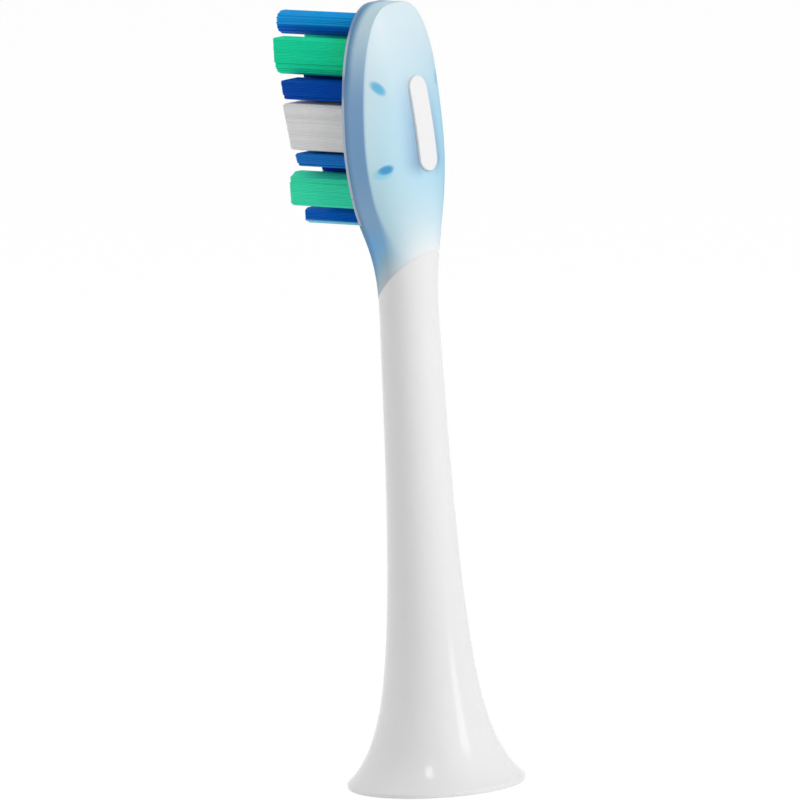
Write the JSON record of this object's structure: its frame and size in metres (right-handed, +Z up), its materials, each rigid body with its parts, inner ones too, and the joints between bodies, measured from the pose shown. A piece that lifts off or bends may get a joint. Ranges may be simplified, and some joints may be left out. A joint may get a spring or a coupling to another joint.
{
  "type": "electric toothbrush head",
  "caption": "Click-on brush head: slim white neck with a flared skirt, domed translucent blue head, trimmed bristle tufts and a keyed socket for a handle's drive shaft.",
  "frame": {"origin": "centre of the skirt's rim, on the plane that the handle meets", "axes": "+Z up the neck towards the toe of the head, -Y the way the bristles point, +Y the domed back"},
  "size_m": [0.0172, 0.0226, 0.076],
  "materials": {
    "white_plastic": "moulded satin gloss",
    "blue_cover": "milky translucent",
    "plate_white": "moulded",
    "blue_bristles": "nylon filaments",
    "green_bristles": "nylon filaments",
    "white_bristles": "nylon filaments",
    "socket_plastic": "natural moulded",
    "spring_steel": "cold rolled"
  },
  "bodies": {
    "root": {"neck_shaft": "white_plastic", "head_cover": "blue_cover", "bristle_plate": "plate_white", "shaft_socket": "socket_plastic", "shaft_clip": "spring_steel", "toe_tuft": "blue_bristles", "heel_tuft": "blue_bristles", "upper_middle_tuft": "white_bristles", "lower_middle_tuft": "white_bristles", "upper_blue_middle_tuft": "blue_bristles", "lower_blue_middle_tuft": "blue_bristles", "white_middle_tuft": "white_bristles", "upper_green_left_tuft": "green_bristles", "upper_green_right_tuft": "green_bristles", "upper_blue_left_tuft": "blue_bristles", "upper_blue_right_tuft": "blue_bristles", "white_left_tuft": "white_bristles", "white_right_tuft": "white_bristles", "lower_blue_left_tuft": "blue_bristles", "lower_blue_right_tuft": "blue_bristles", "lower_green_left_tuft": "green_bristles", "lower_green_right_tuft": "green_bristles"}
  },
  "joints": []
}
